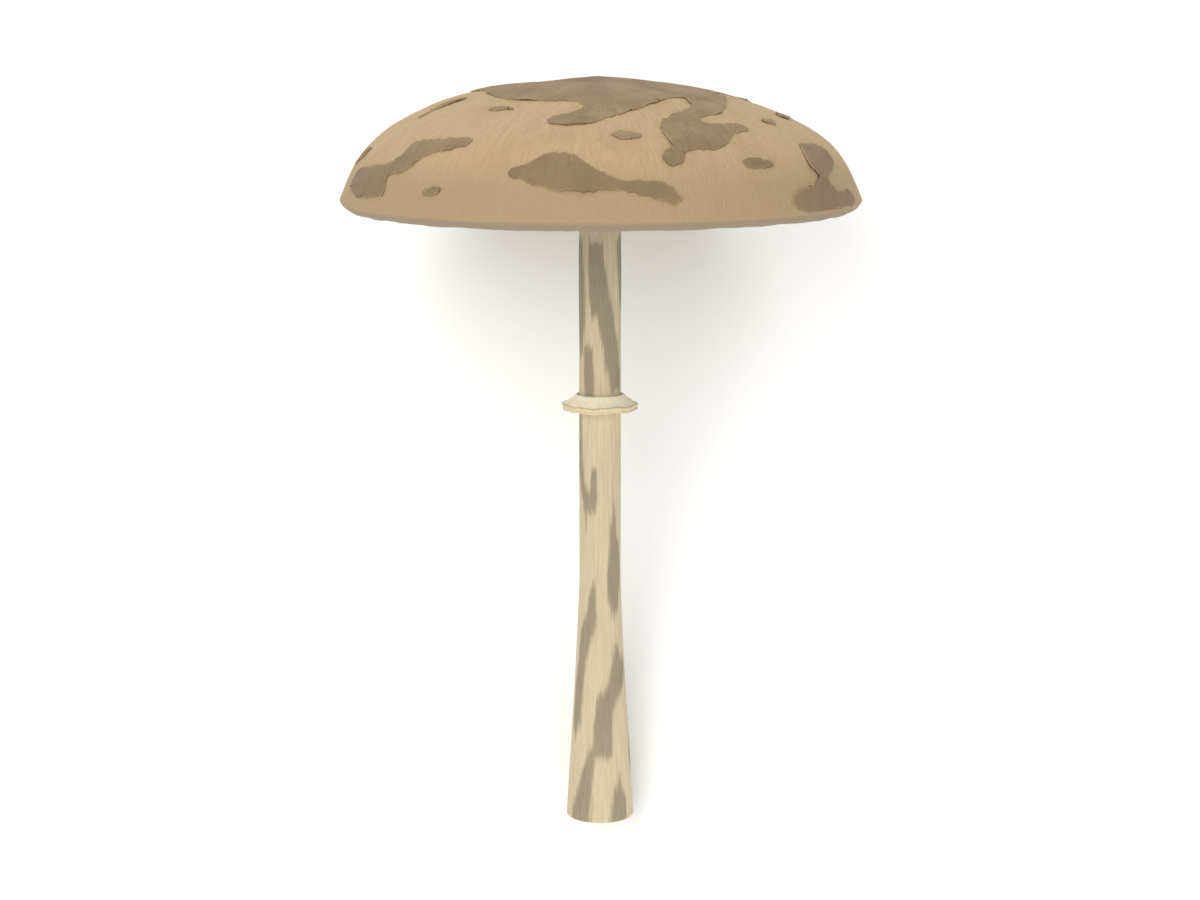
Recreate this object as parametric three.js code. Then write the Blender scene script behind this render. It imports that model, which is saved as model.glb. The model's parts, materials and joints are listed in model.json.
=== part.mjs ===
// A parasol mushroom, picked and lying on its side. Millimetres, +Z up.
//
// Every piece is modelled the way it grew: the stem's axis is Z, the cut end of the stem is at
// z = 0, +Y is the side that the mushroom later lies on, and the cap is a dome at the top.
// The last section turns the whole mushroom about X, so that the margin of the cap and the
// foot of the stem touch the table, and centres it over the origin.
import * as THREE from "three";

// ---------- Driving dimensions ----------
const capRadius = 90; // the widest ring of the cap
const rimHeight = 221.2; // that ring above the cut end of the stem

// Outlines of the cap as (distance from the axis, height over the widest ring).
const domeOutline = [
  [capRadius, 0], [87.2, 6.7], [83.7, 13.3], [78.2, 19.8], [70, 25.7], [59.2, 30.9],
  [46.2, 35], [31.4, 37.7], [19, 39.2], [10, 40.3], [0, 41],
];
const lipOutline = [[89.2, -1.4], [87.4, -3.1], [85.1, -3.9], [84.1, -3.2], [85.4, -1.6]];
const underFleshOutline = [
  [86.4, 0], [84, 6.3], [80, 12], [73.5, 17], [64, 21.8], [52, 25.6], [38, 28.2], [22, 29.8], [9, 30.2],
];
// The free edges of the gills, from the collar to the margin.
const gillEdgeOutline = [[14.2, 19], [27, 15.4], [44, 10.6], [62, 4.4], [76, -1.2], [82.2, -1.4], [84.4, 0.4]];

const stemRadius = 7.3;
const stemTopRadius = 6.9;
const footRadius = 12.1; // the stem at its cut end
const footBevel = 0.9;
const footTop = 88; // where the foot starts to widen
const socketDepth = 4; // how far the stem is let into the flesh of the cap

const ringHeight = 150.3; // the middle of the ring, above the cut end
const ringBore = 7.7; // loose on the stem
const ringReach = 13.5;

const gillCount = 84;
const gillDepth = 4; // the mass of the gills is closed above this depth
const collarInner = 10.4; // the collar that carries the gills stands clear of the stem

const clearance = 0.3; // between pieces that touch
const gillClearance = 0.6; // between the gills and the flesh over them
const pressedReach = 87; // the margin's distance from the axis where it is pressed by the table

const roundSteps = 52; // facets around the cap
const stemSteps = 36; // facets around the stem and the ring

// ---------- Natural unevenness ----------
// The cap is a little lumpy, its margin isn't a true circle, and it is pressed straight where it lies.
function uneven(geometry) {
  const place = geometry.getAttribute("position");
  for (let i = 0; i < place.count; i++) {
    const [x, y, z] = [place.getX(i), place.getY(i), place.getZ(i)];
    const out = Math.hypot(x, y);
    const bearing = Math.atan2(y, x);
    const outer = THREE.MathUtils.smoothstep(out, 0.55 * capRadius, capRadius);
    const pressed = pressedReach / capRadius / Math.max(0.2, Math.sin(bearing));
    const wander = 1 + 0.006 * Math.sin(3 * bearing + 0.6) * (1 - Math.max(0, Math.sin(bearing)));
    const reach = 1 + outer * (Math.min(pressed, wander) - 1);
    const middle = THREE.MathUtils.smoothstep(out, 16, 40) * (1 - outer);
    const lump = 0.9 * middle * Math.sin(x / 37 + 2.6) * Math.cos(y / 41 - 0.4);
    place.setXYZ(i, x * reach, y * reach, z + lump);
  }
  return geometry;
}

// ---------- Helpers ----------
const atRim = (outline) => outline.map(([out, up]) => new THREE.Vector2(out, rimHeight + up));

function smooth(outline, steps) {
  return new THREE.SplineCurve(atRim(outline)).getPoints(steps);
}

// The height of a smooth outline at a distance from the axis.
function heightAt(curve, out) {
  const next = curve.findIndex((p) => p.x <= out);
  const [a, b] = [curve[next - 1], curve[next]];
  return THREE.MathUtils.mapLinear(out, a.x, b.x, a.y, b.y);
}

// A closed outline of (distance, height) points spun about Z, listed upwards on its outside.
function spun(points, steps) {
  return new THREE.LatheGeometry(points, steps).rotateX(Math.PI / 2);
}

function piece(name, geometry, color, roughness) {
  geometry.computeVertexNormals();
  const mesh = new THREE.Mesh(geometry, new THREE.MeshStandardMaterial({ color, roughness, metalness: 0 }));
  mesh.name = name;
  return mesh;
}

// ---------- Cap: flesh and skin, one solid ----------
const underFlesh = smooth(underFleshOutline, 13);

function cap() {
  const socketRadius = stemTopRadius + clearance;
  const socketTop = rimHeight + underFleshOutline.at(-1)[1] + socketDepth;
  const outline = [
    new THREE.Vector2(0, socketTop),
    new THREE.Vector2(socketRadius, socketTop),
    new THREE.Vector2(socketRadius, underFlesh.at(-1).y),
    ...underFlesh.toReversed(),
    ...atRim(lipOutline).toReversed(),
    ...smooth(domeOutline, 17),
  ];
  return piece("cap", uneven(spun(outline, roundSteps)), 0xc8aa82, 0.9);
}

// ---------- Gills: a mass pleated into blades, on a collar that is free of the stem ----------
function gills() {
  const foot = atRim(gillEdgeOutline)[0];
  const edges = smooth(gillEdgeOutline, 10);
  const top = [84.4, 82.5, 78.5, 72, 63, 52, 38, 24, collarInner].map(
    (out) => new THREE.Vector2(out, heightAt(underFlesh, out + gillClearance) - gillClearance),
  );
  const collar = new THREE.Vector2(collarInner, foot.y);
  const outline = [collar, ...edges, ...top, collar];
  const mass = spun(outline, 2 * gillCount);

  // Every second line of points is raised between the collar and the margin.
  const place = mass.getAttribute("position");
  for (let i = 0; i < place.count; i++) {
    const along = (i % outline.length) - 1;
    const around = Math.floor(i / outline.length);
    if (around % 2 === 1 && along > 0 && along < edges.length - 1) {
      place.setZ(i, place.getZ(i) + gillDepth * Math.min(1, along / 3));
    }
  }
  return piece("gills", uneven(mass), 0xe9dcc0, 0.85);
}

// ---------- Stem: a cylinder on a widened foot, cut flat ----------
function stemRadiusAt(height) {
  const down = Math.max(0, 1 - height / footTop);
  return stemRadius + (footRadius - stemRadius) * down ** 1.25;
}

function stem() {
  const outline = [new THREE.Vector2(0, 0), new THREE.Vector2(footRadius - footBevel, 0)];
  for (const height of [footBevel, 12, 26, 42, 58, 74, footTop, rimHeight]) {
    outline.push(new THREE.Vector2(stemRadiusAt(height), height));
  }
  const top = rimHeight + underFleshOutline.at(-1)[1] + socketDepth - clearance;
  outline.push(
    new THREE.Vector2(stemTopRadius, rimHeight + 17),
    new THREE.Vector2(stemTopRadius, top - 1.2),
    new THREE.Vector2(stemTopRadius - 1.4, top),
    new THREE.Vector2(0, top),
  );
  return piece("stem", spun(outline, stemSteps), 0xdac7a0, 0.8);
}

// ---------- Ring: a loose collar that flares out and down, with a double edge ----------
function ring() {
  const outline = [
    [ringBore, -1.6],
    [ringBore + 1.4, -1.3],
    [ringReach - 2.6, -1.6],
    [ringReach - 1, -2.7],
    [ringReach - 0.15, -2.5],
    [ringReach - 0.7, -1.7],
    [ringReach, -1.1],
    [ringReach - 1, -0.5],
    [ringBore + 2.2, 1.3],
    [ringBore + 0.8, 2.6],
    [ringBore, 2.7],
    [ringBore, -1.6],
  ].map(([out, up]) => new THREE.Vector2(out, ringHeight + up));
  return piece("ring", spun(outline, stemSteps), 0xf4e4c3, 0.9);
}

// ---------- Laying the mushroom down ----------
// The table touches the widest ring of the cap, where it is pressed straight, and the foot's edge.
const lean = Math.atan2(pressedReach - footRadius, rimHeight - footBevel);

const mushroom = new THREE.Group();
mushroom.add(cap(), gills(), stem(), ring());
mushroom.rotation.x = lean - Math.PI / 2;

const laid = new THREE.Group();
laid.add(mushroom);
const box = new THREE.Box3().setFromObject(laid, true);
const middle = box.getCenter(new THREE.Vector3());
mushroom.position.set(-middle.x, -middle.y, -box.min.z);

export default laid;
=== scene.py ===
# %% [markdown]
# # A parasol mushroom, picked and laid on its side
#
# A parasol mushroom has four pieces that come apart by hand: a broad cap, the gills under it, a
# slender stem, and a ring that is loose on the stem. The imported CAD model gives each of them its
# size and its place. This lesson builds the surface that one would see and touch: torn brown
# skin over a paler, fibrous ground, close-set gills, a banded stem and a felted ring.

# %% Load the frame
import json
import math

import bmesh
import bpy
import numpy as np
from mathutils import Matrix, Vector, noise


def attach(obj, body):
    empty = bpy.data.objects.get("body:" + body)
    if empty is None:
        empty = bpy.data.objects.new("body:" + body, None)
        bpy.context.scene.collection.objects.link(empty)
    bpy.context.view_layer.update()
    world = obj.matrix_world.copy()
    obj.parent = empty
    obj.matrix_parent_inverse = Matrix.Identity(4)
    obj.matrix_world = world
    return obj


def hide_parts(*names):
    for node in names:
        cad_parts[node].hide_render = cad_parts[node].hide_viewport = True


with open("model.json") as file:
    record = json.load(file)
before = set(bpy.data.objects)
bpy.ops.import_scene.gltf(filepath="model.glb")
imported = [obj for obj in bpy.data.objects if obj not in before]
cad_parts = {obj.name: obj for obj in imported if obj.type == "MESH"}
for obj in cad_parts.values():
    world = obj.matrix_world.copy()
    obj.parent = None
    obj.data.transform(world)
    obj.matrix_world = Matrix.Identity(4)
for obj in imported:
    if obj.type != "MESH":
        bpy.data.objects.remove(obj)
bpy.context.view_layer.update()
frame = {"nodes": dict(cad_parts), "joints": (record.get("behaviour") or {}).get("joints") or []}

mm = 0.001
# Without a seed, vector noise starts from the clock, and the creases would differ on every run.
noise.seed_set(4)

# %% [markdown]
# ## The way it grew
#
# The mushroom lies on its side, with the stem rising to the cap. Shapes that go round a stem are
# far easier to make upright. So every piece is made as it grew: the stem's axis is Z, the middle
# of the cut end is the origin, and +Y is the side that it lies on. One matrix, `laid`, then lays
# a finished mesh down. The ring slides along the stem, so its joint gives us the stem's
# direction, and the flat cut end of the CAD stem gives us the origin.

# %% Find the stem's axis and its cut end
slide = next(j for j in frame["joints"] if j["name"] == "ring_slide")
axis = Vector(slide["axis"]).normalized()
stem_points = [v.co for v in frame["nodes"]["stem"].data.vertices]
lowest = min(p.dot(axis) for p in stem_points)
cut_end = [p for p in stem_points if p.dot(axis) < lowest + 0.02 * mm]
cut_middle = (
    Vector([min(p[i] for p in cut_end) for i in range(3)])
    + Vector([max(p[i] for p in cut_end) for i in range(3)])
) / 2

sideways = Vector((1, 0, 0))
downwards = axis.cross(sideways)
turn = Matrix((sideways, downwards, axis)).transposed().to_4x4()
laid = Matrix.Translation(cut_middle) @ turn
print("the stem rises at", round(math.degrees(math.asin(axis.z)), 1), "degrees")

# %% [markdown]
# ## Sizes
#
# All sizes are in millimetres, and a mesh is scaled to metres when it is laid down. The outlines
# are those of the CAD model, as distance from the axis and height over the widest ring of the
# cap. Only the surface between their points is finer here, and the margin is rolled in a little
# rounder.

# %% Sizes of the mushroom
cap_radius = 90.0
rim_height = 221.2
pressed_reach = 87.0
socket_depth = 4.0
clearance = 0.3

dome_outline = [
    (0, 41), (10, 40.3), (19, 39.2), (31.4, 37.7), (46.2, 35), (59.2, 30.9),
    (70, 25.7), (78.2, 19.8), (83.7, 13.3), (87.2, 6.7), (90, 0),
]
lip_outline = [
    (89.5, -1.0), (88.6, -2.1), (87.2, -3.1), (85.9, -3.7), (84.9, -3.8), (84.2, -3.2), (85.0, -1.9),
]
under_flesh_outline = [
    (86.4, 0), (84, 6.3), (80, 12), (73.5, 17), (64, 21.8), (52, 25.6), (38, 28.2), (22, 29.8), (9, 30.2),
]
gill_edge_outline = [
    (14.2, 19), (27, 15.4), (44, 10.6), (62, 4.4), (76, -1.2), (82.2, -1.4), (84.4, 0.4),
]

stem_radius, stem_top_radius = 7.3, 6.9
foot_radius, foot_top = 12.1, 88.0
ring_height, ring_reach = 150.3, 13.5
print("cap", 2 * cap_radius, "mm across, stem", 2 * stem_radius, "mm across above the foot")

# %% [markdown]
# ## Smooth outlines
#
# A short list of points is easy to read and change, but it makes a faceted surface. A spline
# through the points gives the curve between them, and resampling it at equal steps gives mesh
# faces of equal size.

# %% Turn a short outline into a fine one
def spline(a, b, c, d, t):
    """Points between b and c of a smooth curve through a, b, c and d."""
    return 0.5 * (2 * b + (c - a) * t + (2 * a - 5 * b + 4 * c - d) * t**2 + (3 * b - a - 3 * c + d) * t**3)


def smooth_outline(points, step):
    """A spline through the points, resampled at about this step in mm."""
    p = np.array([points[0], *points, points[-1]], float)
    t = np.linspace(0, 1, 24, endpoint=False)[:, None]
    fine = np.vstack([*(spline(a, b, c, d, t) for a, b, c, d in zip(p, p[1:], p[2:], p[3:])), p[-1]])
    length = np.concatenate([[0], np.cumsum(np.hypot(*np.diff(fine, axis=0).T))])
    even = np.linspace(0, length[-1], max(2, round(length[-1] / step)))
    return np.stack([np.interp(even, length, fine[:, i]) for i in (0, 1)], 1)


# The dome is level at the crown, so its spline starts with a mirrored point.
beside_crown = dome_outline[1]
mirrored_dome = [(-beside_crown[0], beside_crown[1]), *dome_outline]
dome = smooth_outline(mirrored_dome, 0.25)
dome = dome[np.argmax(dome[:, 0] >= 0):]
dome[0, 0] = 0
dome_arc = np.concatenate([[0], np.cumsum(np.hypot(*np.diff(dome, axis=0).T))])
dome_slope = np.gradient(dome, dome_arc, axis=0)
print("from the crown to the rim, over the skin:", round(dome_arc[-1], 1), "mm")

# %% [markdown]
# ## Natural unevenness
#
# A mushroom's cap is never a true circle. It wanders a little, it has lumps, and the margin is
# pressed straight where it lies on the table. The CAD model has the same function, so the fine
# surface follows it everywhere. It works on arrays of points, and every piece of the cap goes
# through it, so skin, flesh and gills stay together.

# %% Press and wander the cap
def smoothstep(value, low, high):
    x = np.clip((value - low) / (high - low), 0, 1)
    return x * x * (3 - 2 * x)


def uneven(points):
    """Points of the cap as it grew, in mm, moved off the perfect round shape."""
    x, y, z = points.T
    out = np.hypot(x, y)
    bearing = np.arctan2(y, x)
    outer = smoothstep(out, 0.55 * cap_radius, cap_radius)
    pressed = pressed_reach / cap_radius / np.maximum(0.2, np.sin(bearing))
    wander = 1 + 0.006 * np.sin(3 * bearing + 0.6) * (1 - np.maximum(0, np.sin(bearing)))
    reach = 1 + outer * (np.minimum(pressed, wander) - 1)
    middle = smoothstep(out, 16, 40) * (1 - outer)
    lump = 0.9 * middle * np.sin(x / 37 + 2.6) * np.cos(y / 41 - 0.4)
    return np.stack([x * reach, y * reach, z + lump], 1)


resting_point = uneven(np.array([[0, cap_radius, rim_height]]))[0]
print("the margin is pressed in by", round(cap_radius - resting_point[1], 1), "mm where it rests")

# %% [markdown]
# ## From a mesh to a piece
#
# A few small helpers carry a mesh through the work. `spun` turns an outline about Z, and closes
# where it meets itself. `places` reads a mesh's points as one array, `from_stem` gives their
# distances from the axis, and `moved` writes new points back. `noted` keeps a number at every
# point, for the material to read. `roughened` gives each point a gentle noise. `piece` lays the
# mesh down, makes the object and ties it to the CAD body that carries it.

# %% Helpers for meshes
def spun(outline, steps):
    """A bmesh of an outline of (distance, height) turned once about Z."""
    bm = bmesh.new()
    verts = [bm.verts.new((r, 0, z)) for r, z in outline]
    edges = [bm.edges.new(pair) for pair in zip(verts, verts[1:])]
    bmesh.ops.spin(
        bm, geom=verts + edges, cent=(0, 0, 0), axis=(0, 0, 1), dvec=(0, 0, 0),
        angle=math.tau, steps=steps, use_merge=True, use_duplicate=False,
    )
    bmesh.ops.remove_doubles(bm, verts=bm.verts, dist=0.001)
    bmesh.ops.recalc_face_normals(bm, faces=bm.faces)
    return bm


def places(bm):
    """The points of a mesh, as an array with a row for each."""
    return np.array([v.co for v in bm.verts])


def from_stem(points):
    """The distance of each point from the stem's axis."""
    return np.hypot(points[:, 0], points[:, 1])


def moved(bm, points):
    """Puts the points of a mesh in these places."""
    for vert, point in zip(bm.verts, points):
        vert.co = point


def noted(bm, name, values):
    """Keeps a number at every point of a mesh, under this name."""
    layer = bm.verts.layers.float.new(name)
    for vert, value in zip(bm.verts, values):
        vert[layer] = value


def roughened(points, amount, size, seed):
    """A gentle noise value for each point, in mm, with waves of about this size."""
    return np.array([amount * noise.noise(Vector(p) / size + Vector((seed, 0, 0))) for p in points])


def piece(name, bm, body, replaces=(), smooth=True):
    """The finished object of a mesh, laid down in metres and riding on its body."""
    bm.transform(laid @ Matrix.Scale(mm, 4))
    for face in bm.faces:
        face.smooth = smooth
    mesh = bpy.data.meshes.new(name)
    bm.to_mesh(mesh)
    bm.free()
    thing = bpy.data.objects.new(name, mesh)
    bpy.context.scene.collection.objects.link(thing)
    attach(thing, body)
    if replaces:
        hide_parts(*replaces)
    mesh.calc_loop_triangles()
    print(name, "has", len(mesh.loop_triangles), "triangles")
    return thing

# %% [markdown]
# ## The flesh of the cap
#
# The whole cap under the torn skin is one spun shape: the dome, the margin rolled in under it,
# the underside of the flesh that carries the gills, and the shallow socket that the stem sits
# in. A spin is the right tool, because the cap grew round its stem. After it, `uneven` presses
# and wanders the shape, and two noises lift and sink the ground by a few tenths of a
# millimetre, which is what light picks out on a dry, matt surface. Two numbers are kept at every
# point for the material: its distance from the crown over the skin, and whether it is under.

# %% Spin the cap
flesh_at_stem = under_flesh_outline[-1][1]
socket_radius = stem_top_radius + clearance
socket_top = flesh_at_stem + socket_depth
coarse_dome = smooth_outline(mirrored_dome, 1.0)
cap_profile = np.vstack([
    [0, dome[0, 1]],
    coarse_dome[coarse_dome[:, 0] > 0.4],
    smooth_outline(lip_outline, 0.7),
    smooth_outline(under_flesh_outline, 3.0),
    [socket_radius, flesh_at_stem],
    [socket_radius, socket_top],
    [0, socket_top],
]) + [0, rim_height]

cap_mesh = spun(cap_profile, steps=480)
grown = places(cap_mesh)
out = from_stem(grown)
dome_there = rim_height + np.interp(out, dome[:, 0], dome[:, 1])
lip = grown[:, 2] < rim_height - 0.05
near_dome = grown[:, 2] > dome_there - 0.5
near_margin = out > 88
outside = lip | near_dome | near_margin
swells = roughened(grown, amount=0.34, size=11, seed=4)
pores = roughened(grown, amount=0.14, size=3, seed=9)
grown[:, 2] += outside * (swells + pores)

# Round the margin the distance over the skin goes on down the lip.
arc = np.interp(out, dome[:, 0], dome_arc)
below_rim = rim_height - grown[:, 2]
noted(cap_mesh, "arc", np.where(lip, dome_arc[-1] + below_rim, arc))
noted(cap_mesh, "under", ~outside)
moved(cap_mesh, uneven(grown))
cap = piece("cap_flesh", cap_mesh, "mushroom", replaces=["cap"])

# %% [markdown]
# ## Where the skin tore
#
# As the cap opened, its brown skin couldn't stretch with it. It stayed whole over the crown and
# tore into patches everywhere else. The patches are drawn as outlines on the flattened cap, in
# mm: the crown is (0, 0), x runs sideways, and -y comes down the side that faces up now. A
# point's distance from (0, 0) is its distance from the crown measured over the skin. Each
# outline has only the points that its shape needs, and a closed spline rounds it.

# %% Outlines of the torn skin
def rounded(outline):
    """A smooth closed outline through these points."""
    p = np.array([outline[-1], *outline, *outline[:2]], float)
    t = np.linspace(0, 1, 3, endpoint=False)[:, None]
    return np.vstack([spline(a, b, c, d, t) for a, b, c, d in zip(p, p[1:], p[2:], p[3:])])


crown = rounded([
    (-40, -7), (-37, -24), (-30, -37), (-17, -44), (-6, -49), (-8, -56), (-17, -60), (-15, -64),
    (-5, -66), (2, -62), (12, -54), (20, -42), (28, -35), (30, -45), (25, -53), (21, -60),
    (20, -68), (24, -75), (20, -80), (23, -84), (28, -82), (29, -76), (38, -72), (43, -66),
    (44, -60), (50, -52), (45, -51), (37, -57), (33, -54), (40, -46), (42, -34), (42, -16),
    (40, -4), (44, 8), (53, 16), (55, 24), (46, 26), (38, 22), (33, 30), (24, 34), (20, 44), (10, 47),
    (5, 39), (-6, 36), (-14, 43), (-25, 48), (-31, 42), (-28, 32), (-37, 26), (-39, 14), (-45, 6),
])
front_band = rounded([
    (-31, -85), (-24, -83), (-17, -81), (-9, -82), (-5, -86), (1, -90), (10, -92), (20, -91),
    (29, -94), (26, -97), (19, -97), (9, -96), (-3, -96), (-15, -95), (-24, -90),
])
left_band = rounded([
    (-43, -62), (-52, -57), (-62, -49), (-68, -50), (-76, -48), (-83, -37), (-91, -27), (-95, -34),
    (-90, -48), (-81, -59), (-76, -55), (-68, -60), (-58, -61), (-51, -64), (-44, -66),
])
hourglass = rounded([
    (69, -43), (73, -36), (79, -30), (84, -34), (84, -41), (82, -46), (84, -49), (90, -44), (96, -32),
    (99, -37), (89, -58), (81, -69), (72, -73), (72, -68), (76, -62), (79, -55), (79, -51), (74, -50),
])


def turned(outline, degrees):
    """The outline, turned about the crown."""
    a = math.radians(degrees)
    x, y = np.array(outline).T
    return np.column_stack([x * math.cos(a) - y * math.sin(a), x * math.sin(a) + y * math.cos(a)])


# The side that it lies on tore in the same way: the same shapes, turned about the crown.
large = [front_band, left_band, hourglass]
large += [turned(outline, degrees=184) for outline in large]
print("large patches beside the crown:", len(large))

# %% [markdown]
# ## Small flecks
#
# Where the skin tore to shreds, small lens-shaped flecks of it are left between the patches.
# One function makes them all, with a noise in its outline, so that no two are alike. Those on
# the side that faces up are listed one by one. The others are strewn with a seeded generator, which
# gives the same flecks on every run, and each keeps its distance from what is already there.

# %% Small flecks between the patches
def fleck(x, y, length, width, slant):
    """A small lens of skin around (x, y), pointed at its ends and uneven in its outline."""
    angles = np.linspace(0, math.tau, 18, endpoint=False)
    places_around = [Vector((x + 1.3 * math.cos(a), y + 1.3 * math.sin(a), 5)) for a in angles]
    wobble = np.array([1 + 0.4 * noise.noise(p) for p in places_around])
    bulge = np.sin(angles) * np.sqrt(np.abs(np.sin(angles)))
    lens = np.column_stack([length / 2 * np.cos(angles), width / 2 * bulge]) * wobble[:, None]
    return turned(lens, slant) + [x, y]


flecks = [
    fleck(54, -69, 14, 4.5, 35), fleck(8, -72.5, 10, 3.5, 0), fleck(-60, -77, 8, 3.5, -27),
    fleck(57, -36, 8, 4, 60), fleck(63, -16, 8, 4, 60), fleck(-33, -45.5, 9, 3, -30),
    fleck(-53, -21.5, 16, 3.5, 12), fleck(-86, -18, 13, 4, -50),
]
# On the far side they are strewn: larger near the crown, and long across the slope.
luck = np.random.default_rng(4)
taken = np.vstack([crown, *large, *flecks])
for _ in range(400):
    bearing, far = luck.uniform(14, 166), luck.uniform(48, 97)
    length = luck.uniform(0.45, 1) * (26 - 0.17 * far)
    width, slant = length * luck.uniform(0.3, 0.5), bearing + 90 + luck.uniform(-25, 25)
    x, y = far * math.cos(math.radians(bearing)), far * math.sin(math.radians(bearing))
    if np.hypot(*(taken - [x, y]).T).min() > 4 + length / 2 and len(flecks) < 36:
        flecks.append(fleck(x, y, length, width, slant))
        taken = np.vstack([taken, flecks[-1]])
scattered = large + flecks
print("flecks:", len(flecks))

# %% [markdown]
# ## A ragged edge
#
# Skin tears along its fibres, which run down from the crown, so a torn edge is frayed. For each
# point of the flattened cap, `depth_inside` says how far it lies inside an outline, and three
# sizes of noise make that distance ragged: slow bays, small nicks, and fibres that are long
# down the slope and narrow across it. Noise is slow to work out, so only points near an edge get
# it.

# %% Measure the distance to a torn edge
def depth_inside(points, outline):
    """Distance inside an outline in mm, negative outside."""
    a = np.array(outline, float)
    b = np.roll(a, -1, axis=0)
    nearest = np.full(len(points), 1e9)
    within = np.zeros(len(points), bool)
    for (ax, ay), (bx, by) in zip(a, b):
        ex, ey = bx - ax, by - ay
        px, py = points[:, 0] - ax, points[:, 1] - ay
        t = np.clip((px * ex + py * ey) / (ex * ex + ey * ey), 0, 1)
        nearest = np.minimum(nearest, np.hypot(px - t * ex, py - t * ey))
        if ay != by:
            crosses = (ay > points[:, 1]) != (by > points[:, 1])
            within ^= crosses & (points[:, 0] < ax + (points[:, 1] - ay) / (by - ay) * ex)
    return np.where(within, nearest, -nearest)


def fray(points):
    """How far the torn edge wanders at each point, in mm."""
    ragged = np.empty(len(points))
    for i, (x, y) in enumerate(points):
        far = math.hypot(x, y) + 0.01
        bays = 0.7 * noise.noise(Vector((x, y, 0)) / 5.5)
        nicks = 0.5 * noise.noise(Vector((x, y, 30)) / 1.9)
        fibres = 0.75 * noise.noise(Vector((x / far * 44, y / far * 44, far / 11)))
        ragged[i] = bays + nicks + fibres
    return ragged


def depth_in_patches(points, outlines):
    """Ragged distance inside the nearest of these patches in mm, never under -4."""
    reach = 4.0
    depth = np.full(len(points), -reach)
    for outline in outlines:
        low, high = np.min(outline, 0) - reach, np.max(outline, 0) + reach
        near = ((points > low) & (points < high)).all(1)
        depth[near] = np.maximum(depth[near], depth_inside(points[near], outline))
    near = np.abs(depth) < reach
    depth[near] += fray(points[near]) * (1 - np.abs(depth[near]) / reach)
    return depth


middle_depth = depth_inside(np.zeros((1, 2)), crown)[0]
print("the middle of the crown lies", round(middle_depth, 1), "mm inside its torn edge")

# %% [markdown]
# ## Lifting the torn skin off the cap
#
# A patch of skin is a thin plate with a broken rim, and its edges curl up as they dry. Raising
# parts of the cap's own mesh couldn't give that overhang, so the patches are plates of their
# own. A fine flat grid is trimmed to the ragged outlines, its border slides onto the edge, and
# the sheet is wrapped over the dome.

# %% Cut and wrap a sheet of torn skin
def on_dome(flat, lift):
    """Points of the flattened cap, wrapped over the dome at this height above it."""
    arc = np.hypot(*flat.T)
    way = flat / np.maximum(arc, 1e-6)[:, None]
    r, z = [np.interp(arc, dome_arc, dome[:, i]) for i in (0, 1)]
    slope_r, slope_z = [np.interp(arc, dome_arc, dome_slope[:, i]) for i in (0, 1)]
    r, z = r - slope_z * lift, z + slope_r * lift
    return uneven(np.column_stack([way * r[:, None], z + rim_height]))


def slid_to_edge(flat, depth, outlines, cell):
    """Moves the border points of a sheet onto its torn edge, by steps down the slope of `depth`."""
    nudge = 0.15
    steps = np.array([nudge, 0]), np.array([0, nudge])
    for _ in range(4):
        border = np.flatnonzero(depth < 0)
        here = flat[border]
        rise = [
            depth_in_patches(here + step, outlines) - depth_in_patches(here - step, outlines)
            for step in steps
        ]
        slope = np.stack(rise, 1) / (2 * nudge)
        steep = np.maximum(0.4, (slope**2).sum(1))
        move = -slope * (depth[border] / steep)[:, None]
        far = np.maximum(1, np.hypot(*move.T) / (0.7 * cell))
        flat[border] = here + move / far[:, None]
        depth[border] = np.minimum(depth_in_patches(flat[border], outlines), 0)
    return flat, np.maximum(depth, 0)


def torn_skin(outlines, cell):
    """A bmesh of the skin inside these outlines, with grid cells of this size in mm."""
    corners, spare = np.vstack(outlines), 4
    low, high = corners.min(0) - spare, corners.max(0) + spare
    count = np.ceil((high - low) / cell).astype(int)
    bm = bmesh.new()
    bmesh.ops.create_grid(bm, x_segments=int(count[0]), y_segments=int(count[1]), size=1)
    flat = places(bm)[:, :2] * (high - low) / 2 + (high + low) / 2
    depth = depth_in_patches(flat, outlines)
    moved(bm, np.column_stack([flat, np.zeros(len(flat))]))

    # Only the faces that reach inside an outline are kept.
    bm.verts.index_update()
    outer = [f for f in bm.faces if max(depth[v.index] for v in f.verts) <= 0]
    bmesh.ops.delete(bm, geom=outer, context="FACES")
    flat = places(bm)[:, :2]
    return bm, *slid_to_edge(flat, depth_in_patches(flat, outlines), outlines, cell)


landing = on_dome(np.array([[0.0, -50.0]]), 0)[0]
print("50 mm down from the crown, the skin is", round(math.hypot(*landing[:2]), 1), "mm from the axis")

# %% [markdown]
# ## Creases and curling edges
#
# Dry skin creases where it stretched, mostly across the slope, and it curls up along the tears.
# Noises set how high each point of the sheet stands over the cap. The distance to the torn edge
# is kept on the mesh with the creases, because the material colours both, and paints shade into
# the creases. A Solidify modifier gives the sheet its thickness last, downwards, so the upper side stays as
# shaped.

# %% Crease, curl and thicken it
skin_thickness, grid_cell = 0.55, 0.55
edge_lift = 0.36  # how high a torn edge stands over the cap
inner_lift = 0.36  # how much higher the skin is away from its edge
curl_lift = 0.9  # how much a curling edge rises
crease_depth = 0.2


def creased(flat, arc):
    """How deep the skin is creased, 0 to 1. Creases run mostly across the slope, off the crown."""
    crease = np.empty(len(flat))
    for i, ((x, y), far) in enumerate(zip(flat, arc + 0.01)):
        place = Vector((x / far * 4.5, y / far * 4.5, far / 4.5))
        bent = place + 0.35 * noise.noise_vector(Vector((x, y, 8)) / 5)
        line = 1 - min(1.0, abs(noise.noise(bent)) / 0.055)
        crease[i] = line * min(1.0, max(0.0, 0.35 + 2.4 * noise.noise(Vector((x, y, 50)) / 13)))
    return crease * smoothstep(arc, 18, 36)


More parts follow.
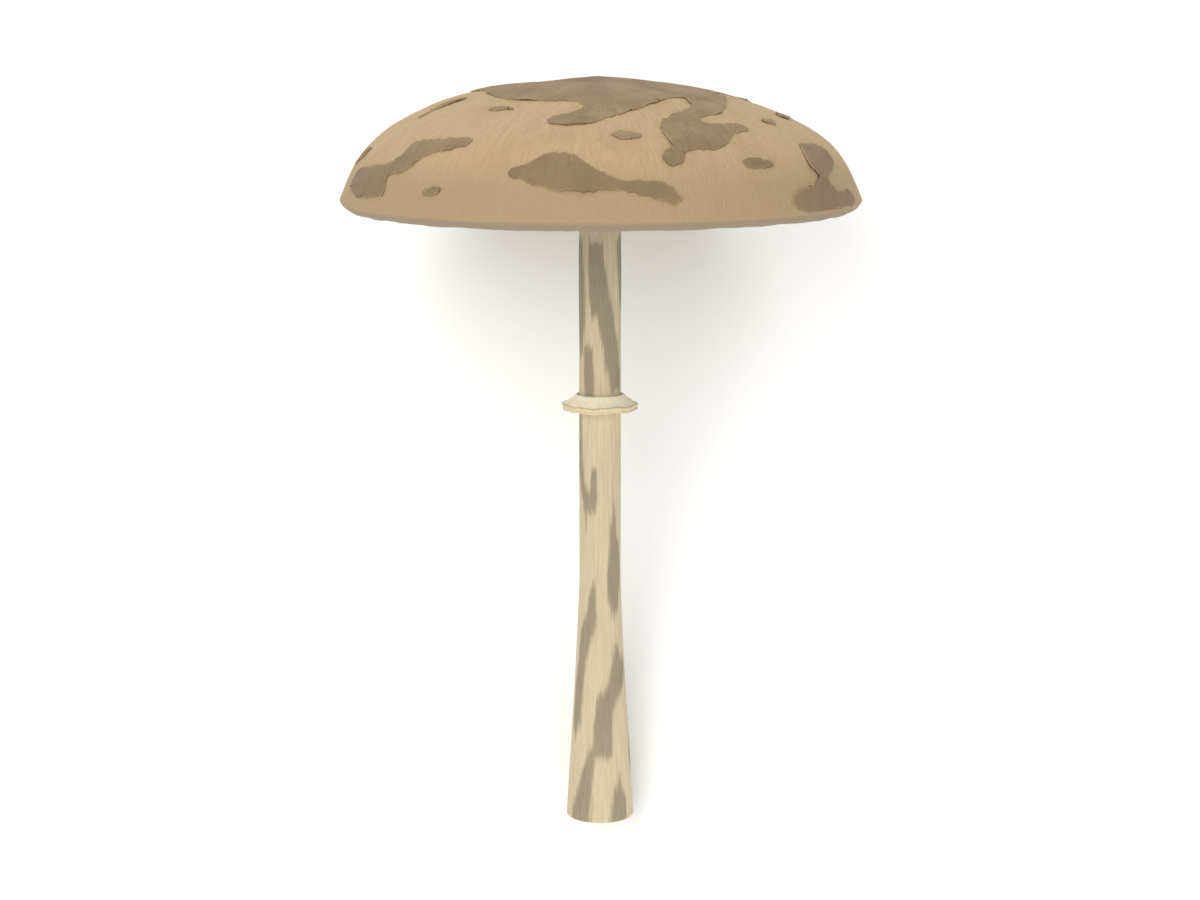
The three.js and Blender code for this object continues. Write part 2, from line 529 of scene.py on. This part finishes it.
def wrap_skin(name, outlines):
    """The piece of torn skin inside these outlines, shaped over the cap."""
    bm, flat, depth = torn_skin(outlines, grid_cell)
    arc = np.hypot(*flat.T)
    crease = creased(flat, arc)
    curl = np.array([max(0.0, noise.noise(Vector((x, y, 60)) / 9.0) + 0.05) for x, y in flat])
    soft = np.array([
        0.12 * noise.noise(Vector((x, y, 90)) / 5) + 0.05 * noise.noise(Vector((x, y, 70)) / 1.6)
        for x, y in flat
    ])
    lift = edge_lift + inner_lift * (1 - np.exp(-depth / 2.5)) + curl_lift * curl * np.exp(-depth / 1.7)
    lift += soft - crease_depth * crease
    noted(bm, "arc", arc)
    noted(bm, "edge", depth)
    noted(bm, "crease", crease)
    moved(bm, on_dome(flat, lift))
    sheet = piece(name, bm, "mushroom")
    plate = sheet.modifiers.new("skin thickness", "SOLIDIFY")
    plate.thickness, plate.offset = skin_thickness * mm, -1
    return sheet


crown_skin = wrap_skin("crown_skin", [crown])
cap_scales = wrap_skin("cap_scales", scattered)

# %% [markdown]
# ## The gills
#
# A parasol's gills are thin blades set close together. Long ones run from the margin to a collar
# that stands clear of the stem, and shorter, lower ones fill the widening gaps between them. One
# blade is a chain of points along its free edge, extruded up into the flesh and given a
# thickness. A spin that duplicates repeats it, and a slow noise makes the whole set waver as
# one, so that no blade cuts through its neighbour. A blade has a few dozen faces, because there
# are hundreds of them. They are shaded flat: on a plate this thin, smooth shading would blend
# the two sides into each other.

# %% One blade, repeated around the stem
under_flesh = smooth_outline(under_flesh_outline, 0.5)[::-1]
gill_edges = smooth_outline(gill_edge_outline, 0.5)
blade_end, blade_thickness = 84.2, 0.5
let_into_flesh = 0.2
blades_in_set = 84
step_turn = math.tau / blades_in_set


def add_blades(gathered, inner, offset, stations, depth=1.0):
    """Adds a set of blades that reach from the margin in to this distance from the axis."""
    share = np.linspace(0, 1, stations)
    outs = inner + (blade_end - inner) * (1 - (1 - share) ** 1.3)
    flesh = np.interp(outs, under_flesh[:, 0], under_flesh[:, 1]) + let_into_flesh
    free = np.interp(outs, gill_edges[:, 0], gill_edges[:, 1])
    if inner > 20:
        # A short blade rises out of the flesh at its inner end.
        free = flesh + (free - flesh) * depth * np.minimum(1, 0.12 + 3 * share)

    bm = bmesh.new()
    chain = [bm.verts.new((r, 0, z + rim_height)) for r, z in zip(outs, free)]
    edge = [bm.edges.new(pair) for pair in zip(chain, chain[1:])]
    raised = bmesh.ops.extrude_edge_only(bm, edges=edge)["geom"]
    for vert in (v for v in raised if isinstance(v, bmesh.types.BMVert)):
        vert.co.z = np.interp(vert.co.x, outs, flesh) + rim_height
    bmesh.ops.solidify(bm, geom=bm.faces[:], thickness=blade_thickness)
    bmesh.ops.rotate(bm, verts=bm.verts, cent=(0, 0, 0), matrix=Matrix.Rotation(offset, 3, "Z"))
    bmesh.ops.recalc_face_normals(bm, faces=bm.faces)
    bmesh.ops.spin(
        bm, geom=bm.verts[:] + bm.edges[:] + bm.faces[:], cent=(0, 0, 0), axis=(0, 0, 1), dvec=(0, 0, 0),
        angle=math.tau - step_turn, steps=blades_in_set - 1, use_merge=False, use_duplicate=True,
    )

    # A plain mesh carries the set over to the others.
    carrier = bpy.data.meshes.new("blades")
    bm.to_mesh(carrier)
    bm.free()
    gathered.from_mesh(carrier)
    bpy.data.meshes.remove(carrier)


gill_mesh = bmesh.new()
add_blades(gill_mesh, inner=13.6, offset=0, stations=20)
add_blades(gill_mesh, inner=33, offset=step_turn / 2, stations=14, depth=0.92)
add_blades(gill_mesh, inner=58, offset=step_turn / 4, stations=8, depth=0.65)
add_blades(gill_mesh, inner=62, offset=step_turn * 3 / 4, stations=8, depth=0.65)

# %% Let the set waver as one
grown = places(gill_mesh)
out = from_stem(grown)
bearing = np.arctan2(grown[:, 1], grown[:, 0])
waver = roughened(grown, amount=0.9, size=14, seed=0) * smoothstep(out, 16, 40)
ripple = roughened(grown, amount=0.22, size=5, seed=7) * smoothstep(out, 20, 50)
across = (waver + ripple) / np.maximum(out, 1)
grown[:, 0], grown[:, 1] = out * np.cos(bearing + across), out * np.sin(bearing + across)
flesh_there = np.interp(out, under_flesh[:, 0], under_flesh[:, 1]) + rim_height
noted(gill_mesh, "free_edge", flesh_there - grown[:, 2])
moved(gill_mesh, uneven(grown))
gills = piece("gill_blades", gill_mesh, "mushroom", replaces=["gills"], smooth=False)

# %% The collar that the long gills end in
collar_outline = [
    (10.5, 19.6), (10.9, 18.9), (11.9, 18.6), (13.2, 18.7), (14.1, 19.3), (14.5, 20.4),
    (14.4, 24), (14.2, 29.9), (10.7, 30), (10.4, 26), (10.4, 21), (10.5, 19.6),
]
collar_mesh = spun(np.array(collar_outline) + [0, rim_height], steps=120)
grown = places(collar_mesh)
grown[:, 2] += roughened(grown, amount=0.15, size=2.5, seed=2)
moved(collar_mesh, uneven(grown))
collar = piece("gill_collar", collar_mesh, "mushroom")

# %% [markdown]
# ## The stem
#
# The stem is slender and nearly straight, and it widens to its foot. Its brown outer layer tore
# like the skin of the cap as the stem stretched, into long slanting bands with the pale flesh
# showing between them. The bands are drawn on the unrolled stem, as (turn in degrees, height in
# mm), with 0 degrees on the side that faces up. They stand proud by a tenth of a millimetre, and
# they fade along the stem, where the fibres run. Their distance field is kept on the mesh, so
# that the material can feather them. The knife left a flat cut at the foot.

# %% Outlines of the bands on the stem
stem_bands = [
    [(-27, 206), (6, 206), (8, 202), (27, 190), (40, 180), (55, 171), (70, 160), (66, 154), (31, 155),
     (18, 162), (6, 171), (-6, 180), (-22, 181), (-29, 188), (-33, 198)],
    [(-47, 170), (-20, 170), (-18, 160), (-20, 148), (-44, 148), (-48, 161)],
    [(51, 206), (82, 208), (88, 196), (80, 184), (66, 186), (56, 197)],
    [(-84, 208), (-57, 206), (-50, 198), (-45, 188), (-47, 178), (-54, 168), (-70, 166), (-86, 184)],
    [(-80, 146), (-63, 145), (-56, 134), (-51, 124), (-62, 118), (-84, 130)],
    [(-65, 130), (-45, 121), (-31, 120), (-22, 127), (-9, 127), (-7, 117), (-14, 112), (-36, 111),
     (-42, 105), (-52, 115), (-62, 119)],
    [(38, 123), (49, 104), (64, 98), (73, 88), (58, 78), (38, 73), (24, 82), (20, 90), (29, 98)],
    [(-14, 89), (-10, 74), (-20, 67), (-38, 58), (-40, 47), (-45, 36), (-60, 30), (-72, 34), (-72, 48),
     (-58, 59), (-57, 69), (-38, 75), (-30, 82)],
    [(41, 66), (50, 62), (56, 57), (68, 60), (70, 54), (60, 49), (45, 46), (30, 40), (24, 24), (-12, 24),
     (-14, 35), (-2, 46), (16, 50), (32, 58)],
    [(-12, 28), (-14, 11), (-16, -2), (-52, -2), (-54, 4), (-43, 11), (-38, 19), (-20, 26)],
    [(39, 16), (45, 11), (54, 8), (50, -2), (15, -2), (25, 9)],
]
# The far side has bands of the same kinds, turned and shifted along the stem.
far_bands = [[(t + 178, h - 6) for t, h in band] for band in stem_bands[:9]]
far_bands += [[(t + 128, h + 20) for t, h in stem_bands[9]], [(t + 170, h + 1) for t, h in stem_bands[9]]]
print("bands on the stem:", len(stem_bands) + len(far_bands))

# %% Spin the stem
def stem_radius_at(height):
    """The stem's radius at this height, before its bands are raised."""
    down = np.clip(1 - height / foot_top, 0, 1)
    return stem_radius + (foot_radius - stem_radius) * down**1.25


stem_top = rim_height + socket_top - clearance
stem_profile = [(r, 0) for r in (0, 0.7, 1.4, 2.1, 2.8, 3.5, 4.2, 5.2, 6.4, 7.6, 8.8, 10, 11)]
stem_profile += [(foot_radius - 0.45, 0.1), (foot_radius - 0.1, 0.45)]
stem_profile += [(stem_radius_at(h), h) for h in np.arange(1.0, rim_height, 0.75)]
stem_profile += [
    (7.15, rim_height + 6), (7.0, rim_height + 12), (stem_top_radius, rim_height + 17),
    (stem_top_radius, stem_top - 1.2), (stem_top_radius - 1.4, stem_top), (0, stem_top),
]
stem_mesh = spun(stem_profile, steps=128)
print("the stem is", round(stem_top, 1), "mm long, with its end in the socket")

# %% Raise its bands and its fibres
def depth_in_bands(degrees, height):
    """Distance inside the nearest band, with height counted less, so that bands fade lengthwise."""
    across, along = 0.13, 0.3
    here = np.column_stack([degrees * across, height * along])
    depth = np.full(len(height), -1e9)
    for band in stem_bands + far_bands:
        for lap in (-360, 0, 360):
            outline = [((t + lap) * across, h * along) for t, h in band]
            depth = np.maximum(depth, depth_inside(here, outline))
    return depth


grown = places(stem_mesh)
out = from_stem(grown)
turn_degrees = np.degrees(np.arctan2(grown[:, 0], -grown[:, 1]))
band_depth = depth_in_bands(turn_degrees, grown[:, 2])
fibre = np.empty(len(grown))
for i, (x, y, z) in enumerate(grown):
    far = math.hypot(x, y) + 0.01
    way = Vector((x / far, y / far, 0))
    broad = noise.noise(way * 7 + Vector((0, 0, z / 26)))
    narrow = noise.noise(way * 16 + Vector((0, 0, z / 11)))
    fibre[i] = broad + 0.5 * narrow
    slow = 0.5 * noise.noise(way * 4 + Vector((0, 0, z / 14)))
    streaks = 0.55 * noise.noise(way * 15 + Vector((9, 0, z / 24)))
    band_depth[i] += slow + streaks
print("banded share of the stem:", round(float((band_depth > 0).mean()), 2))

band_height, fibre_height, slack_in_cap = 0.13, 0.08, 0.12
raised = band_height * smoothstep(band_depth, -0.5, 0.6)
in_cap = smoothstep(grown[:, 2], rim_height, rim_height + 8)
side = (grown[:, 2] > 0.3) & (grown[:, 2] < stem_top - 2)
swell = side * (raised + fibre_height * fibre - slack_in_cap * in_cap)
scale = (out + swell) / np.maximum(out, 1e-6)
grown[:, 0] *= scale
grown[:, 1] *= scale

# %% Shape the cut face
# The cut face is a little uneven, and the soft pith in its middle has sunk in.
cut = (grown[:, 2] < 0.05) & (out < 11.1)
pith_depth = 1.3
pith = pith_depth * (1 - smoothstep(out, 1.4, 4.6))
cut_marks = roughened(grown, amount=0.12, size=1.7, seed=5) + 0.1
grown[:, 2] += cut * (pith + cut_marks)
noted(stem_mesh, "band", band_depth)
moved(stem_mesh, grown)
stem = piece("stem_skin", stem_mesh, "mushroom", replaces=["stem"])

# %% [markdown]
# ## The ring
#
# The ring is what is left of the veil that once closed the cap. It is a soft, felted collar with
# a double edge, and it is loose, so it rides on its own body and slides along the stem. It is
# spun from a closed outline that hugs the stem above and flares below, and its edges are
# frayed with noise.

# %% Spin the ring
ring_outline = [
    (7.75, -1.5), (8.6, -1.35), (9.8, -1.35), (10.9, -1.6), (11.8, -2.1), (12.5, -2.75), (13.1, -2.75),
    (13.25, -2.3), (12.95, -1.85), (13.15, -1.5), (13.5, -1.15), (13.35, -0.75), (12.6, -0.45), (11.6, 0.1),
    (10.6, 0.75), (9.7, 1.45), (8.9, 2.2), (8.3, 2.65), (7.85, 2.6), (7.75, 2.2), (7.75, 0.4), (7.75, -1.5),
]
ring_mesh = spun(smooth_outline(ring_outline, 0.3) + [0, ring_height], steps=200)

# %% Fray its edges
grown = places(ring_mesh)
out = from_stem(grown)
edge_share = smoothstep(out, 10.0, ring_reach)
tatter = np.empty(len(grown))
flutter = np.empty(len(grown))
for i, (x, y, z) in enumerate(grown):
    way = Vector((x, y, 0)).normalized()
    tatter[i] = 0.5 * noise.noise(way * 3.1) + 0.4 * noise.noise(way * 11 + Vector((0, 0, z / 3)))
    tatter[i] += 0.25 * noise.noise(way * 30)
    flutter[i] = 0.6 * noise.noise(Vector((x, y, 40)) / 4.5)
felt = roughened(grown, amount=0.12, size=0.9, seed=3)
reach = out + edge_share * (tatter - 0.35) + smoothstep(out, 8.2, 9.5) * felt
grown[:, 0] *= reach / out
grown[:, 1] *= reach / out
grown[:, 2] += edge_share * flutter
noted(ring_mesh, "edge_share", edge_share)
moved(ring_mesh, grown)
ring = piece("ring_felt", ring_mesh, "ring", replaces=["ring"])

# %% [markdown]
# ## Materials
#
# All of the colours are procedural. Patterns that follow the way the mushroom grew need its own
# upright space, so `grown_place` turns the Object coordinates back with a Mapping node.
# `fibres` gives coordinates that change fast around the stem's axis and slowly along a second
# measure, the distance over the cap or the height up the stem. A noise on them makes threads
# that run down from the crown or along the stem. Colours are written as they should look in the
# studio, and `tint` takes off what the lights add. The spread of light under the surface, the
# sheen and the shine are single numbers for each material.

# %% Helpers for materials
upright = laid.inverted()


def tint(r, g, b, light=1.25):
    """A colour from the 0-255 values that it should show in this much light."""
    return tuple(((c / 255 + 0.055) / 1.055) ** 2.4 / light for c in (r, g, b)) + (1,)


print("a cream of 218, 201, 167 as a base colour:", [round(c, 2) for c in tint(218, 201, 167)[:3]])


class Shader:
    """A material being built, with short calls for its nodes."""

    def __init__(self, name, roughness, sheen=0.0, subsurface=0.0, scatter=0.0015):
        self.material = bpy.data.materials.new(name)
        self.material.use_nodes = True
        self.tree = self.material.node_tree
        self.skin = self.tree.nodes["Principled BSDF"]
        self.skin.inputs["Roughness"].default_value = roughness
        self.skin.inputs["Specular IOR Level"].default_value = 0.25
        self.skin.inputs["Sheen Weight"].default_value = sheen
        self.skin.inputs["Sheen Roughness"].default_value = 0.5
        if subsurface:
            self.skin.inputs["Subsurface Weight"].default_value = subsurface
            self.skin.inputs["Subsurface Radius"].default_value = (1.0, 0.6, 0.35)
            self.skin.inputs["Subsurface Scale"].default_value = scatter

    def node(self, kind, links=None, **settings):
        made = self.tree.nodes.new("ShaderNode" + kind)
        for key, value in settings.items():
            setattr(made, key, value)
        for key, value in (links or {}).items():
            if isinstance(value, bpy.types.NodeSocket):
                self.tree.links.new(value, made.inputs[key])
            else:
                made.inputs[key].default_value = value
        return made

    def grown_place(self):
        """Object coordinates, turned back to the way the mushroom grew, in metres."""
        place = self.node("TexCoord").outputs["Object"]
        back = upright.to_euler()
        return self.node("Mapping", {
            "Vector": place, "Location": upright.translation, "Rotation": (back.x, back.y, back.z),
        }).outputs["Vector"]

    def level(self):
        """The part of the place that points away from the axis."""
        return self.node("VectorMath", {0: self.grown_place(), 1: (1, 1, 0)}, operation="MULTIPLY").outputs[0]

    def from_axis(self):
        return self.node("VectorMath", {0: self.level()}, operation="LENGTH").outputs["Value"]

    def height(self):
        return self.node("SeparateXYZ", {0: self.grown_place()}).outputs["Z"]

    def fibres(self, across, reach):
        """Coordinates for fibres: `across` of them in a radian, and one unit long along `reach`."""
        way = self.node("VectorMath", {0: self.level()}, operation="NORMALIZE").outputs[0]
        spread = self.node("VectorMath", {0: way, "Scale": across}, operation="SCALE").outputs[0]
        lifted = self.node("CombineXYZ", {"Z": reach}).outputs[0]
        return self.node("VectorMath", {0: spread, 1: lifted}, operation="ADD").outputs[0]

    def noise(self, vector, scale, detail=3.0):
        sockets = {"Vector": vector, "Scale": scale, "Detail": detail, "Roughness": 0.55}
        return self.node("TexNoise", sockets).outputs["Fac"]

    def ramp(self, value, *stops):
        made = self.node("ValToRGB", {"Fac": value})
        elements = made.color_ramp.elements
        while len(elements) < len(stops):
            elements.new(0.5)
        for element, (position, colour) in zip(elements, stops):
            element.position, element.color = position, colour
        return made.outputs["Color"]

    def step(self, value, low, high):
        sockets = {"Value": value, "From Min": low, "From Max": high}
        return self.node("MapRange", sockets, interpolation_type="SMOOTHSTEP").outputs["Result"]

    def mix(self, share, a, b):
        return self.node("Mix", {0: share, 6: a, 7: b}, data_type="RGBA").outputs[2]

    def times(self, a, b):
        return self.node("Math", {0: a, 1: b}, operation="MULTIPLY").outputs[0]

    def plus(self, a, b):
        return self.node("Math", {0: a, 1: b}, operation="ADD").outputs[0]

    def attribute(self, name):
        return self.node("Attribute", attribute_name=name).outputs["Fac"]

    def finish(self, colour, height, distance, *things):
        self.tree.links.new(colour, self.skin.inputs["Base Color"])
        bump = self.node("Bump", {"Height": height, "Distance": distance, "Strength": 1.0})
        self.tree.links.new(bump.outputs["Normal"], self.skin.inputs["Normal"])
        for thing in things:
            thing.data.materials.clear()
            thing.data.materials.append(self.material)
        print(self.material.name, "is on", ", ".join(t.name for t in things))

# %% [markdown]
# ### The ground of the cap
#
# Under the torn skin the cap is tan and dry, like felt. Fine fibres run down from the crown. Near
# the margin the tan is painted darker and greyer as painted shade, and the rolled-in edge is painted greyest,
# as the shade under the margin.

# %% Felted tan ground
ground = Shader("felted_tan", 0.9, sheen=0.05, subsurface=0.05)
arc_mm = ground.attribute("arc")
threads = ground.noise(ground.fibres(90, ground.times(arc_mm, 0.2)), 1.0, 5)
strands = ground.noise(ground.fibres(30, ground.times(arc_mm, 0.09)), 1.0, 3)
mottle = ground.noise(ground.grown_place(), 60, 5)
grain = ground.noise(ground.grown_place(), 900, 3)
light_tan, middle_tan, dark_tan = tint(200, 171, 133), tint(194, 165, 126), tint(187, 158, 119)
tan = ground.ramp(threads, (0.3, dark_tan), (0.5, middle_tan), (0.7, light_tan))
tan = ground.mix(ground.times(ground.step(mottle, 0.44, 0.7), 0.6), tan, tint(184, 155, 117))
tan = ground.mix(ground.times(ground.step(strands, 0.5, 0.72), 0.3), tan, tint(174, 145, 108))
# Painted shade: the tan is darkened and greyed towards the margin, where the dome turns away from the light.
tan = ground.mix(ground.times(ground.step(arc_mm, 84, 98), 0.8), tan, tint(176, 149, 114))
# Painted shade: the rolled-in edge under the margin is painted grey, the colour of that edge in shadow.
tan = ground.mix(ground.step(arc_mm, 106.0, 107.6), tan, tint(154, 137, 113))
tan = ground.mix(ground.attribute("under"), tan, tint(238, 226, 202, 1))
felt_height = ground.plus(ground.times(threads, 0.6), ground.times(grain, 0.4))
ground.finish(tan, felt_height, 0.0006, cap)

# %% [markdown]
# ### Torn brown skin
#
# The skin is a mottled brown with darker threads in it. Its creases and the part towards the
# margin are painted darker as painted shade, and it is paler in places along the broken edge, where the flesh
# of the tear shows.

# %% Brown skin
brown = Shader("torn_brown_skin", 0.84, sheen=0.03, subsurface=0.04)
arc_mm = brown.attribute("arc")
threads = brown.noise(brown.fibres(80, brown.times(arc_mm, 0.14)), 1.0, 5)
mottle = brown.noise(brown.grown_place(), 95, 6)
grain = brown.noise(brown.grown_place(), 1100, 3)
light_brown, middle_brown, dark_brown = tint(165, 141, 108), tint(155, 131, 99), tint(142, 118, 87)
skin = brown.ramp(mottle, (0.3, dark_brown), (0.5, middle_brown), (0.7, light_brown))
skin = brown.mix(brown.times(brown.step(threads, 0.48, 0.72), 0.7), skin, tint(139, 115, 85))
# Painted shade: the skin is darkened in its creases.
skin = brown.mix(brown.times(brown.attribute("crease"), 0.4), skin, tint(116, 94, 68))
# Painted shade: the skin is darkened towards the margin, where the dome turns away from the light.
skin = brown.mix(brown.times(brown.step(arc_mm, 62, 98), 0.65), skin, tint(136, 113, 86))
broken = brown.plus(brown.attribute("edge"), brown.times(threads, -0.8))
torn = brown.times(brown.step(broken, 0.15, -0.35), brown.step(mottle, 0.4, 0.58))
skin = brown.mix(brown.times(torn, 0.7), skin, tint(182, 155, 118))
felt_height = brown.plus(brown.times(threads, 0.6), brown.times(grain, 0.4))
brown.finish(skin, felt_height, 0.0006, crown_skin, cap_scales)

# %% [markdown]
# ### Gills, stem and ring
#
# The gills are cream and thin enough for light to pass into them, so most of their light is
# spread under the surface. Up near the flesh, in the depth between the blades, they are painted
# darker and warmer as painted shade. The stem is cream under its grey-brown bands, and the cut end
# shows its pale flesh. The ring is the lightest of all, with a little brown caught in its frayed edge.

# %% Cream gills
cream = Shader("cream_gills", 0.8, subsurface=0.7, scatter=0.003)
mottle = cream.noise(cream.grown_place(), 160, 3)
pale = cream.ramp(mottle, (0.3, tint(238, 226, 200, 1)), (0.7, tint(249, 241, 222, 1)))
# Painted shade: the blades are darker and warmer near the flesh, deep between them.
painted_shade_near_flesh = cream.step(cream.attribute("free_edge"), 12.0, 2.0)
pale = cream.mix(cream.times(painted_shade_near_flesh, 0.5), pale, tint(232, 212, 184, 1))
cream.finish(pale, mottle, 0.0002, gills, collar)

# %% Banded stem
bark = Shader("banded_stem", 0.82, sheen=0.05, subsurface=0.08)
high = bark.height()
threads = bark.noise(bark.fibres(9, bark.times(high, 60)), 1.0, 5)
fine = bark.noise(bark.fibres(26, bark.times(high, 120)), 1.0, 4)
grain = bark.noise(bark.grown_place(), 1200, 3)
light_cream, middle_cream, dark_cream = tint(225, 209, 176), tint(218, 201, 167), tint(208, 190, 157)
flesh = bark.ramp(threads, (0.3, dark_cream), (0.5, middle_cream), (0.7, light_cream))
light_grey, middle_grey, dark_grey = tint(176, 162, 134), tint(166, 153, 126), tint(154, 141, 115)
band_colour = bark.ramp(fine, (0.3, dark_grey), (0.55, middle_grey), (0.75, light_grey))
wisps = bark.times(bark.plus(fine, -0.5), 2.4)
share = bark.step(bark.plus(bark.attribute("band"), wisps), -0.75, 0.55)
tone = bark.mix(share, flesh, band_colour)

# The cut face shows pale flesh around a darker, softer pith.
from_axis = bark.from_axis()
heart = bark.mix(bark.step(from_axis, 0.0048, 0.0028), tint(228, 212, 180), tint(204, 182, 146))
cut_face = bark.times(bark.step(high, 0.0022, 0.0016), bark.step(from_axis, 0.0117, 0.0113))
tone = bark.mix(cut_face, tone, heart)
felt_height = bark.plus(bark.times(fine, 0.7), bark.times(grain, 0.3))
bark.finish(tone, felt_height, 0.0005, stem)

# %% Felted ring
felted = Shader("veil_felt", 0.92, sheen=0.15, subsurface=0.12)
threads = felted.noise(felted.fibres(20, felted.times(felted.from_axis(), 200)), 1.0, 4)
grain = felted.noise(felted.grown_place(), 1400, 4)
light = felted.ramp(threads, (0.3, tint(250, 235, 203, 1)), (0.6, tint(253, 243, 215, 1)))
at_edge = felted.step(felted.attribute("edge_share"), 0.86, 0.98)
light = felted.mix(at_edge, light, tint(232, 214, 178))
stained = felted.times(at_edge, felted.step(grain, 0.45, 0.7))
light = felted.mix(felted.times(stained, 0.4), light, tint(196, 166, 124))
felt_height = felted.plus(grain, felted.times(threads, 0.5))
felted.finish(light, felt_height, 0.0005, ring)

# %% [markdown]
# ## Floor, light and camera
#
# The mushroom lies on a plain white table. The camera looks down on it and a little towards the
# cap, 10 degrees above the plane of the rim as the mushroom grew. A large soft window overhead
# models the dome and the stem, a pale wall beyond the cap lights the crown, a reflector at the
# foot opens the gills, and a pale sky fills the rest.

# %% Table
bpy.ops.mesh.primitive_plane_add(size=12)
table = bpy.context.object
table.name = "table"
paper = Shader("white_table", 0.9)
paper.skin.inputs["Base Color"].default_value = tint(250, 250, 249, 1)
table.data.materials.append(paper.material)
print("the table's top is at", round(table.location.z, 3), "m")

# %% Lights
def soft_light(name, place, size, power, colour=(1, 1, 1)):
    """A round soft light of this size in metres, aimed at the middle of the mushroom."""
    lamp = bpy.data.lights.new(name, "AREA")
    lamp.shape, lamp.size, lamp.energy, lamp.color = "DISK", size, power, colour
    holder = bpy.data.objects.new(name, lamp)
    holder.location = place
    aim = Vector((0, 0.02, 0.08)) - Vector(place)
    holder.rotation_euler = aim.to_track_quat("-Z", "Y").to_euler()
    bpy.context.scene.collection.objects.link(holder)
    print(name, "has", power, "watts")


soft_light("window", (-0.5, 0.0, 1.4), size=1.1, power=11, colour=(1, 0.99, 0.97))
soft_light("far_wall", (0.25, 1.3, 0.6), size=0.9, power=4)
soft_light("reflector", (0.45, -1.15, 0.45), size=1.2, power=6.5)

sky = bpy.data.worlds.new("pale_sky")
sky.use_nodes = True
sky.node_tree.nodes["Background"].inputs["Color"].default_value = (1, 1, 1, 1)
sky.node_tree.nodes["Background"].inputs["Strength"].default_value = 0.78
bpy.context.scene.world = sky
bpy.context.scene.view_settings.view_transform = "Standard"

# %% Camera
# The eye is placed beside the upright mushroom, in mm, and laid down with it.
eye_height, eye_distance, eye_tilt = 132.9, 897.0, math.radians(10)
eye = Vector((0, -math.cos(eye_tilt), math.sin(eye_tilt))) * eye_distance + Vector((0, 0, eye_height))
look = Matrix.Rotation(math.pi / 2 - eye_tilt, 4, "X")
lens = bpy.data.cameras.new("camera")
lens.sensor_width = 36
view_height, height_to_width = math.radians(20), 900 / 1200
lens.lens = 0.5 * lens.sensor_width / math.tan(view_height / 2) * height_to_width
camera = bpy.data.objects.new("camera", lens)
bpy.context.scene.collection.objects.link(camera)
camera.matrix_world = laid @ Matrix.Translation(eye * mm) @ look
bpy.context.scene.camera = camera
print("lens", round(lens.lens, 2), "mm")
